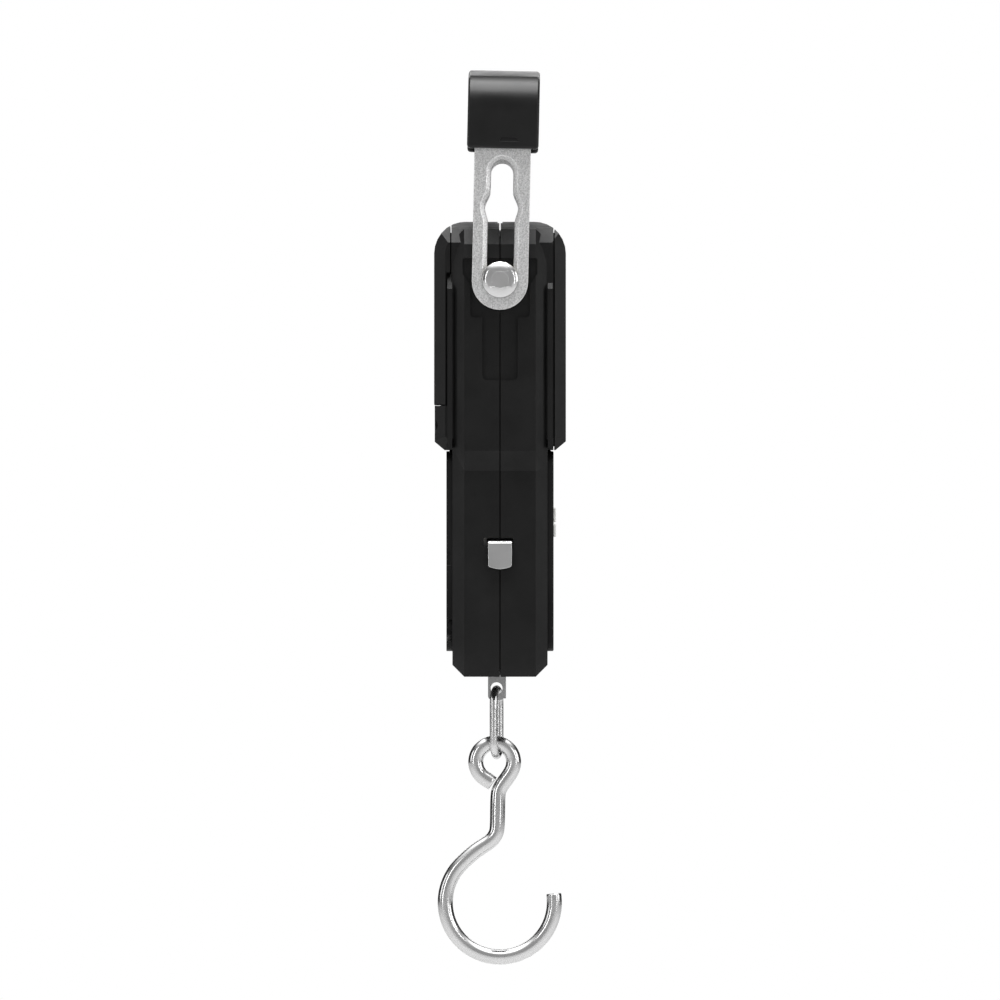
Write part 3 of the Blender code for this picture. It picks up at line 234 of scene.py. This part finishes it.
MATERIALS = {
    "black_shell": moulded_black("black_shell", tone=0.0050, roughness=0.44, grain=5200,
                                 specular=0.20),
    "black_trim": moulded_black("black_trim", tone=0.0050, roughness=0.42, grain=6500,
                                specular=0.20),
    "grip_black": moulded_black("grip_black", tone=0.0055, roughness=0.32, grain=7000,
                                specular=0.26),
    "white_button": plain("white_button", (0.72, 0.72, 0.70), (0.82, 0.82, 0.80), 0.38),
    "nylon": plain("nylon", (0.62, 0.61, 0.57), (0.72, 0.71, 0.67), 0.45),
    "blasted_steel": blasted_steel(),
    "polished_steel": bright_metal("polished_steel", tone=0.66, smooth=0.14, rough=0.24),
    "zinc_steel": bright_metal("zinc_steel", tone=0.46, smooth=0.26, rough=0.38),
    "spring_steel": bright_metal("spring_steel", tone=0.60, smooth=0.20, rough=0.32),
    "milled_aluminium": bright_metal("milled_aluminium", tone=0.75, smooth=0.28, rough=0.42,
                                     scratch=1500),
    "clear_window": clear_window(),
    "lcd_glass": display_panel(),
    "light_guide": plain("light_guide", (0.80, 0.82, 0.85), (0.88, 0.90, 0.92), 0.25),
    "conductive_rubber": plain("conductive_rubber", grey(0.02), grey(0.04), 0.75),
    "circuit_board": plain("circuit_board", (0.01, 0.10, 0.04), (0.02, 0.16, 0.07), 0.35),
    "chip_black": plain("chip_black", grey(0.01), grey(0.02), 0.50),
    "cell_wrap": plain("cell_wrap", (0.07, 0.07, 0.30), (0.10, 0.10, 0.40), 0.25),
    "tape_enamel": measuring_tape(),
}


# ---------------------------------------------------------------- geometry building blocks

DETAIL_SUFFIX = "_detail"
WELD_DISTANCE = 2e-6
CUT_TOLERANCE = 1e-6
FLAT_ANGLE = radians(1)
EDGE_SEGMENTS = 3
EDGE_ANGLE = radians(24)

# how strongly large faces outweigh small ones in the shading, from 1 to 100
FLAT_WEIGHT = 80

# a wire's triangles are joined whatever their shape, and its cut ends stay crisp
WIRE_JOIN_ANGLE = radians(60)
ANY_SHAPE = radians(180)
WIRE_END_ANGLE = radians(70)
WIRE_END_CREASE = 0.85
WIRE_SMOOTHING = 2

# pieces with a flat face that runs right round an opening, and where that face is divided
RING_FACED = ("lcd_bezel", "rear_shell")
SEAM_X = 0.0031


def split_flat_faces(shape):
    """Seam a mesh near its middle, so that no flat face closes on itself around an opening."""
    everything = [*shape.verts, *shape.edges, *shape.faces]
    halved = bmesh.ops.bisect_plane(shape, geom=everything, dist=CUT_TOLERANCE,
                                    plane_co=(SEAM_X, 0, 0), plane_no=(1, 0, 0))
    for part in halved["geom_cut"]:
        if isinstance(part, bmesh.types.BMEdge):
            part.seam = True


def clean_copy(node, split=False):
    """A copy of a CAD node's mesh with welded vertices and merged flat faces."""
    mesh = NODES[node].data.copy()
    mesh.name = node + DETAIL_SUFFIX
    shape = bmesh.new()
    shape.from_mesh(mesh)
    bmesh.ops.remove_doubles(shape, verts=shape.verts, dist=WELD_DISTANCE)
    if split:
        split_flat_faces(shape)
    bmesh.ops.dissolve_limit(shape, angle_limit=FLAT_ANGLE, verts=shape.verts,
                             edges=shape.edges, delimit={"SEAM"})
    shape.to_mesh(mesh)
    shape.free()
    return mesh


def new_piece(node, mesh):
    """Link a mesh as a piece that stands for a CAD node and rides on that node's body."""
    piece = bpy.data.objects.new(node + DETAIL_SUFFIX, mesh)
    bpy.context.scene.collection.objects.link(piece)
    mesh.materials.clear()
    mesh.materials.append(MATERIALS[SLOT_OF[node]])
    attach(piece, BODY_OF[node])
    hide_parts(node)
    return piece


def rounded(node, width):
    """Stand for a CAD node with the same shape, its sharp edges rounded and softly shaded."""
    piece = new_piece(node, clean_copy(node, split=node in RING_FACED))
    piece.data.shade_smooth()
    bevel = piece.modifiers.new("edges", "BEVEL")
    bevel.width = width
    bevel.segments = EDGE_SEGMENTS
    bevel.limit_method = "ANGLE"
    bevel.angle_limit = EDGE_ANGLE
    bevel.miter_outer = "MITER_ARC"
    bevel.harden_normals = True
    flatten = piece.modifiers.new("flat_faces", "WEIGHTED_NORMAL")
    flatten.weight = FLAT_WEIGHT


def smooth_wire(node, swell):
    """Stand for a faceted CAD wire with a round one; swell makes up for the smoothing."""
    mesh = clean_copy(node)
    shape = bmesh.new()
    shape.from_mesh(mesh)
    bmesh.ops.join_triangles(shape, faces=shape.faces, angle_face_threshold=WIRE_JOIN_ANGLE,
                             angle_shape_threshold=ANY_SHAPE)
    crease = shape.edges.layers.float.new("crease_edge")
    for vert in shape.verts:
        vert.co += vert.normal * swell
    for edge in shape.edges:
        if len(edge.link_faces) == 2 and edge.calc_face_angle() > WIRE_END_ANGLE:
            edge[crease] = WIRE_END_CREASE
    shape.to_mesh(mesh)
    shape.free()
    piece = new_piece(node, mesh)
    piece.data.shade_smooth()
    subdivision = piece.modifiers.new("round", "SUBSURF")
    subdivision.levels = WIRE_SMOOTHING
    subdivision.render_levels = WIRE_SMOOTHING


def dress_cad_node(node):
    """Give a CAD node that is shown as it is its material."""
    slots = NODES[node].data.materials
    slots.clear()
    slots.append(MATERIALS[SLOT_OF[node]])


# ---------------------------------------------------------------- pieces

# how wide each piece's rounded edges are, and how far each wire swells to make up for smoothing
ROUNDED_EDGES = {
    "front_shell": 0.00022, "rear_shell": 0.00022, "lcd_bezel": 0.00035, "battery_door": 0.00035,
    "keypad_plate": 0.00030, "rear_plate": 0.00030, "grip_cover": 0.00025, "grip_liner": 0.00020,
    "bail_strap": 0.00018, "tape_end_hook": 0.00012, "pivot_screw_left": 0.00018,
    "pivot_screw_right": 0.00018, "hook_stirrup": 0.00015, "lcd_window": 0.00020,
}
WIRE_SWELL = {"hook": 0.00012, "link": 0.00007}

for node, width in ROUNDED_EDGES.items():
    rounded(node, width)
for node, swell in WIRE_SWELL.items():
    smooth_wire(node, swell)
for node in NODES:
    if node not in ROUNDED_EDGES and node not in WIRE_SWELL:
        dress_cad_node(node)


# ---------------------------------------------------------------- display digits

DIGIT_COUNT = 3
DIGIT_WIDTH = 0.0052
DIGIT_HEIGHT = 0.0105
DIGIT_STROKE = 0.0010
STROKE_GAP = DIGIT_STROKE * 0.15
DIGIT_PITCH = 0.0078
DIGIT_RELIEF = 0.00008
ZERO_STROKES = ("top", "bottom", "left_upper", "left_lower", "right_upper", "right_lower")


def stroke_boxes():
    """Each seven-segment stroke as (low x, low z, high x, high z) within one digit."""
    wide, tall, line, gap = DIGIT_WIDTH, DIGIT_HEIGHT, DIGIT_STROKE, STROKE_GAP
    upper = (tall / 2 + gap, tall - line - gap)
    lower = (line + gap, tall / 2 - gap)
    return {"top": (line + gap, tall - line, wide - line - gap, tall),
            "bottom": (line + gap, 0, wide - line - gap, line),
            "left_upper": (0, upper[0], line, upper[1]),
            "left_lower": (0, lower[0], line, lower[1]),
            "right_upper": (wide - line, upper[0], wide, upper[1]),
            "right_lower": (wide - line, lower[0], wide, lower[1])}


def add_block(shape, low, high):
    """Add a box between two corners to a mesh that is being built."""
    low, high = Vector(low), Vector(high)
    half_cube = Vector((0.5, 0.5, 0.5))
    for vert in bmesh.ops.create_cube(shape, size=1.0)["verts"]:
        share = vert.co + half_cube
        vert.co = low + Vector(share[axis] * (high - low)[axis] for axis in range(3))


def add_display_digits():
    """A zero reading in dark strokes on the front of the liquid crystal panel."""
    low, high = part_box("lcd_glass")
    centre_x = (low[0] + high[0]) / 2
    base = (low[2] + high[2] - DIGIT_HEIGHT) / 2
    front = (low[1] - DIGIT_RELIEF, low[1] + DIGIT_RELIEF)
    strokes = stroke_boxes()
    shape = bmesh.new()
    start = centre_x - (DIGIT_COUNT - 1) / 2 * DIGIT_PITCH - DIGIT_WIDTH / 2
    for index in range(DIGIT_COUNT):
        left = start + index * DIGIT_PITCH
        for name in ZERO_STROKES:
            x0, z0, x1, z1 = strokes[name]
            add_block(shape, (left + x0, front[0], base + z0), (left + x1, front[1], base + z1))
    point = start + DIGIT_WIDTH + (DIGIT_PITCH - DIGIT_WIDTH - DIGIT_STROKE) / 2
    add_block(shape, (point, front[0], base), (point + DIGIT_STROKE, front[1], base + DIGIT_STROKE))
    mesh = bpy.data.meshes.new("lcd_digits")
    shape.to_mesh(mesh)
    shape.free()
    digits = bpy.data.objects.new("lcd_digits", mesh)
    bpy.context.scene.collection.objects.link(digits)
    mesh.materials.append(plain("lcd_segments", grey(0.012), grey(0.020), 0.30))
    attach(digits, BODY_OF["lcd_glass"])


add_display_digits()


# ---------------------------------------------------------------- stage, light and camera

FLOOR_SIZE = 14.0
FLOOR_DROP = 0.25
CAMERA_DISTANCE = 6.0
CAMERA_DROP = 0.05475
VIEW_HEIGHT = 0.250
SENSOR = 36.0
CLIP_END = 100


def add_floor():
    """A light grey floor well below the hook, because the scale hangs."""
    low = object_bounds()[0]
    bpy.ops.mesh.primitive_plane_add(size=FLOOR_SIZE, location=(0, 0, low.z - FLOOR_DROP))
    floor = bpy.context.object
    floor.name = "studio_floor"
    made = Material("studio_floor", 0.7)
    made.colour(made.noise(scale=3, detail=2), dark=grey(0.58), light=grey(0.60))
    floor.data.materials.append(made.material)
    floor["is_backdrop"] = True


def add_world():
    """A studio that is seen as white but lights the scale unevenly, mostly from above."""
    world = bpy.data.worlds.new("studio")
    bpy.context.scene.world = world
    world.use_nodes = True
    nodes, links = world.node_tree.nodes, world.node_tree.links
    nodes.clear()
    coords = nodes.new("ShaderNodeTexCoord")
    split = nodes.new("ShaderNodeSeparateXYZ")
    links.new(coords.outputs["Generated"], split.inputs["Vector"])

    def fade(source, low, high, low_value, high_value):
        node = nodes.new("ShaderNodeMapRange")
        node.interpolation_type = "SMOOTHSTEP"
        node.inputs["From Min"].default_value = low
        node.inputs["From Max"].default_value = high
        node.inputs["To Min"].default_value = low_value
        node.inputs["To Max"].default_value = high_value
        links.new(source, node.inputs["Value"])
        return node.outputs["Result"]

    def combine(operation, first, second=None):
        node = nodes.new("ShaderNodeMath")
        node.operation = operation
        links.new(first, node.inputs[0])
        if second is not None:
            links.new(second, node.inputs[1])
        return node.outputs["Value"]

    sideways = combine("ABSOLUTE", split.outputs["Y"])
    base = fade(sideways, low=0.62, high=0.92, low_value=0.52, high_value=0.10)
    behind = fade(split.outputs["X"], low=0.15, high=0.60, low_value=1.0, high_value=0.05)
    overhead = fade(split.outputs["Z"], low=0.60, high=0.92, low_value=0.0, high_value=2.6)
    strength = combine("ADD", combine("MULTIPLY", base, behind), overhead)
    lit = nodes.new("ShaderNodeBackground")
    links.new(strength, lit.inputs["Strength"])
    seen = nodes.new("ShaderNodeBackground")
    seen.inputs["Strength"].default_value = 1.0
    seen.inputs["Color"].default_value = (1, 1, 1, 1)
    path = nodes.new("ShaderNodeLightPath")
    mix = nodes.new("ShaderNodeMixShader")
    output = nodes.new("ShaderNodeOutputWorld")
    links.new(path.outputs["Is Camera Ray"], mix.inputs["Fac"])
    links.new(lit.outputs["Background"], mix.inputs[1])
    links.new(seen.outputs["Background"], mix.inputs[2])
    links.new(mix.outputs["Shader"], output.inputs["Surface"])


def add_softbox(name, position, aim, size, power):
    """A rectangular lamp that faces its aim; size is its width and height in metres."""
    data = bpy.data.lights.new(name, "AREA")
    data.shape = "RECTANGLE"
    data.size, data.size_y = size
    data.energy = power
    light = bpy.data.objects.new(name, data)
    light.location = position
    light.visible_camera = False
    light.rotation_euler = (aim - position).to_track_quat("-Z", "Y").to_euler()
    bpy.context.scene.collection.objects.link(light)


# each lamp's name, what it faces, where it stands from there, its size and its power
SOFTBOXES = (
    ("high_box", "middle", (0.00, 0.00, 1.60), (2.00, 2.00), 7.0),
    ("top_box", "top", (-0.06, 0.00, 0.34), (0.34, 0.34), 2.6),
    ("back_strip", "top", (1.20, 0.00, 0.28), (1.00, 0.20), 1.4),
    ("front_box", "middle", (-0.35, -1.30, 0.30), (0.50, 0.70), 3.6),
    ("rear_box", "middle", (-0.20, 1.40, 0.30), (0.50, 0.70), 2.0),
    ("left_strip", "middle", (-0.80, 0.75, 0.22), (0.10, 0.70), 1.2),
    ("right_strip", "middle", (-0.80, -0.75, 0.22), (0.10, 0.70), 1.2),
)


def add_lights():
    """Stand the lamps round the scale, each facing the middle or the top of its box."""
    low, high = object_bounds()
    middle = (low + high) / 2
    aims = {"middle": middle, "top": Vector((middle.x, middle.y, high.z))}
    for name, target, offset, size, power in SOFTBOXES:
        aim = aims[target]
        add_softbox(name, aim + Vector(offset), aim, size, power)


def add_camera():
    """Look along +X at the casing's left side from far away, so that lines stay parallel."""
    pivot = Vector(JOINTS["bail_swing"]["pos_m"])
    centre = pivot - Vector((0, 0, CAMERA_DROP))
    data = bpy.data.cameras.new("camera")
    data.sensor_width = SENSOR
    data.lens = SENSOR * CAMERA_DISTANCE / VIEW_HEIGHT
    data.clip_end = CLIP_END
    camera = bpy.data.objects.new("camera", data)
    camera.location = centre - Vector((CAMERA_DISTANCE, 0, 0))
    camera.rotation_euler = (radians(90), 0, radians(-90))
    bpy.context.scene.collection.objects.link(camera)
    bpy.context.scene.camera = camera


add_floor()
add_world()
add_lights()
add_camera()
bpy.context.scene.view_settings.view_transform = "Standard"
